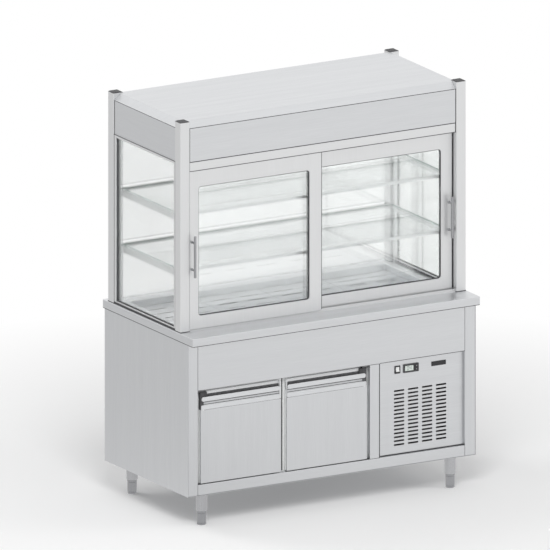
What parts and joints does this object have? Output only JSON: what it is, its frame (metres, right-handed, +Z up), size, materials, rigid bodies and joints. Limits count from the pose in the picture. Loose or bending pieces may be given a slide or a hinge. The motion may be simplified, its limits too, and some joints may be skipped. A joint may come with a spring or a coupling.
{
  "type": "refrigerated display counter",
  "caption": "Refrigerated display counter: cupboard base with cold cell and unit bay, worktop with cold well, glazed upper display with sliding doors and flaps.",
  "frame": {"origin": "on the floor, under the middle of the counter's outline", "axes": "+Z up, +X along the counter from the cupboards to the cooling unit, +Y from the serving side to the customers' side"},
  "size_m": [1.5, 0.815, 1.885],
  "materials": {
    "stainless": "satin",
    "post_aluminium": "satin",
    "door_aluminium": "satin",
    "clear_glass": "gloss",
    "clear_acrylic": "gloss",
    "foam_board": "matt",
    "white_liner": "matt",
    "black_plastic": "matt",
    "gloss_black": "gloss",
    "grey_rubber": "matt",
    "chrome_wire": "polished",
    "steel_bracket": "satin",
    "pot_black": "semi-gloss",
    "coil_fins": "bare",
    "galvanised": "galvanised",
    "copper": "bare",
    "fan_plastic": "matt",
    "lamp_diffuser": "opal",
    "foot_plastic": "satin"
  },
  "bodies": {
    "cabinet": {"worktop": "stainless", "insulation_boards": "foam_board", "base_plates": "stainless", "drain_pipe": "stainless", "cabinet_shell": "stainless", "customer_panel": "stainless", "front_frame": "stainless", "cold_cell": "white_liner", "cell_shelves": "chrome_wire", "shelf_runners": "stainless", "hinge_brackets": "steel_bracket", "unit_panel": "stainless", "switch_housing": "black_plastic", "controller_case": "black_plastic", "blank_plate": "gloss_black", "compressor": "pot_black", "compressor_mounts": "grey_rubber", "condenser": "coil_fins", "fan_shroud": "galvanised", "fan_motors": "pot_black", "refrigerant_lines": "copper", "cable_gland": "black_plastic", "leg_sleeves": "stainless", "posts": "post_aluminium", "post_caps": "black_plastic", "roof_panel": "stainless", "canopy_panels": "stainless", "canopy_ceiling": "white_liner", "lamp": "lamp_diffuser", "evaporator_coils": "coil_fins", "door_tracks": "door_aluminium", "side_glass_frames": "door_aluminium", "side_glass": "clear_glass", "display_shelves": "clear_glass", "shelf_frame": "door_aluminium", "flap_bushes": "black_plastic"},
    "left_door": {"left_door_panel": "stainless", "left_door_grip": "black_plastic", "left_door_gasket": "grey_rubber"},
    "right_door": {"right_door_panel": "stainless", "right_door_grip": "black_plastic", "right_door_gasket": "grey_rubber"},
    "front_slide": {"front_slide_frame": "door_aluminium", "front_slide_glass": "clear_glass", "front_slide_handle": "chrome_wire"},
    "rear_slide": {"rear_slide_frame": "door_aluminium", "rear_slide_glass": "clear_glass", "rear_slide_handle": "chrome_wire"},
    "flap_low": {"lower_flap": "clear_acrylic"},
    "flap_mid": {"middle_flap": "clear_acrylic"},
    "flap_high": {"upper_flap": "clear_acrylic"},
    "fan_condenser": {"condenser_fan": "fan_plastic"},
    "fan_evaporator": {"evaporator_fan": "fan_plastic"},
    "rocker": {"switch_rocker": "gloss_black"},
    "key_up": {"controller_key_up": "grey_rubber"},
    "key_down": {"controller_key_down": "grey_rubber"},
    "foot_fl": {"foot_front_left": "foot_plastic"},
    "foot_fr": {"foot_front_right": "foot_plastic"},
    "foot_bl": {"foot_back_left": "foot_plastic"},
    "foot_br": {"foot_back_right": "foot_plastic"}
  },
  "joints": [
    {"name": "left_door_hinge", "type": "hinge", "parent": "cabinet", "child": "left_door", "pos_m": [-0.6745, -0.355, 0.4], "axis": [0, 0, -1], "range_deg": [0, 105]},
    {"name": "right_door_hinge", "type": "hinge", "parent": "cabinet", "child": "right_door", "pos_m": [0.1745, -0.355, 0.4], "axis": [0, 0, 1], "range_deg": [0, 105]},
    {"name": "front_door_slide", "type": "slide", "parent": "cabinet", "child": "front_slide", "axis": [1, 0, 0], "range_m": [0, 0.65]},
    {"name": "rear_door_slide", "type": "slide", "parent": "cabinet", "child": "rear_slide", "axis": [1, 0, 0], "range_m": [-0.63, 0]},
    {"name": "lower_flap_hinge", "type": "hinge", "parent": "cabinet", "child": "flap_low", "pos_m": [0, 0.3445, 1.164], "axis": [1, 0, 0], "range_deg": [0, 80]},
    {"name": "middle_flap_hinge", "type": "hinge", "parent": "cabinet", "child": "flap_mid", "pos_m": [0, 0.3445, 1.424], "axis": [1, 0, 0], "range_deg": [0, 80]},
    {"name": "upper_flap_hinge", "type": "hinge", "parent": "cabinet", "child": "flap_high", "pos_m": [0, 0.3445, 1.686], "axis": [1, 0, 0], "range_deg": [0, 80]},
    {"name": "condenser_fan_spin", "type": "hinge", "parent": "cabinet", "child": "fan_condenser", "pos_m": [0.4725, -0.2225, 0.3215], "axis": [0, 1, 0], "continuous": true},
    {"name": "evaporator_fan_spin", "type": "hinge", "parent": "cabinet", "child": "fan_evaporator", "pos_m": [-0.42, 0.0978, 1.719], "axis": [0, 0, 1], "continuous": true},
    {"name": "switch_rock", "type": "hinge", "parent": "cabinet", "child": "rocker", "pos_m": [0.352, -0.3395, 0.597], "axis": [1, 0, 0], "range_deg": [0, 18]},
    {"name": "key_up_press", "type": "slide", "parent": "cabinet", "child": "key_up", "axis": [0, 1, 0], "range_m": [0, 0.001], "stiffness_N_per_m": 300},
    {"name": "key_down_press", "type": "slide", "parent": "cabinet", "child": "key_down", "axis": [0, 1, 0], "range_m": [0, 0.001], "stiffness_N_per_m": 300},
    {"name": "foot_fl_screw", "type": "slide", "parent": "cabinet", "child": "foot_fl", "axis": [0, 0, -1], "range_m": [0, 0.05]},
    {"name": "foot_fr_screw", "type": "slide", "parent": "cabinet", "child": "foot_fr", "axis": [0, 0, -1], "range_m": [0, 0.05]},
    {"name": "foot_bl_screw", "type": "slide", "parent": "cabinet", "child": "foot_bl", "axis": [0, 0, -1], "range_m": [0, 0.05]},
    {"name": "foot_br_screw", "type": "slide", "parent": "cabinet", "child": "foot_br", "axis": [0, 0, -1], "range_m": [0, 0.05]}
  ]
}
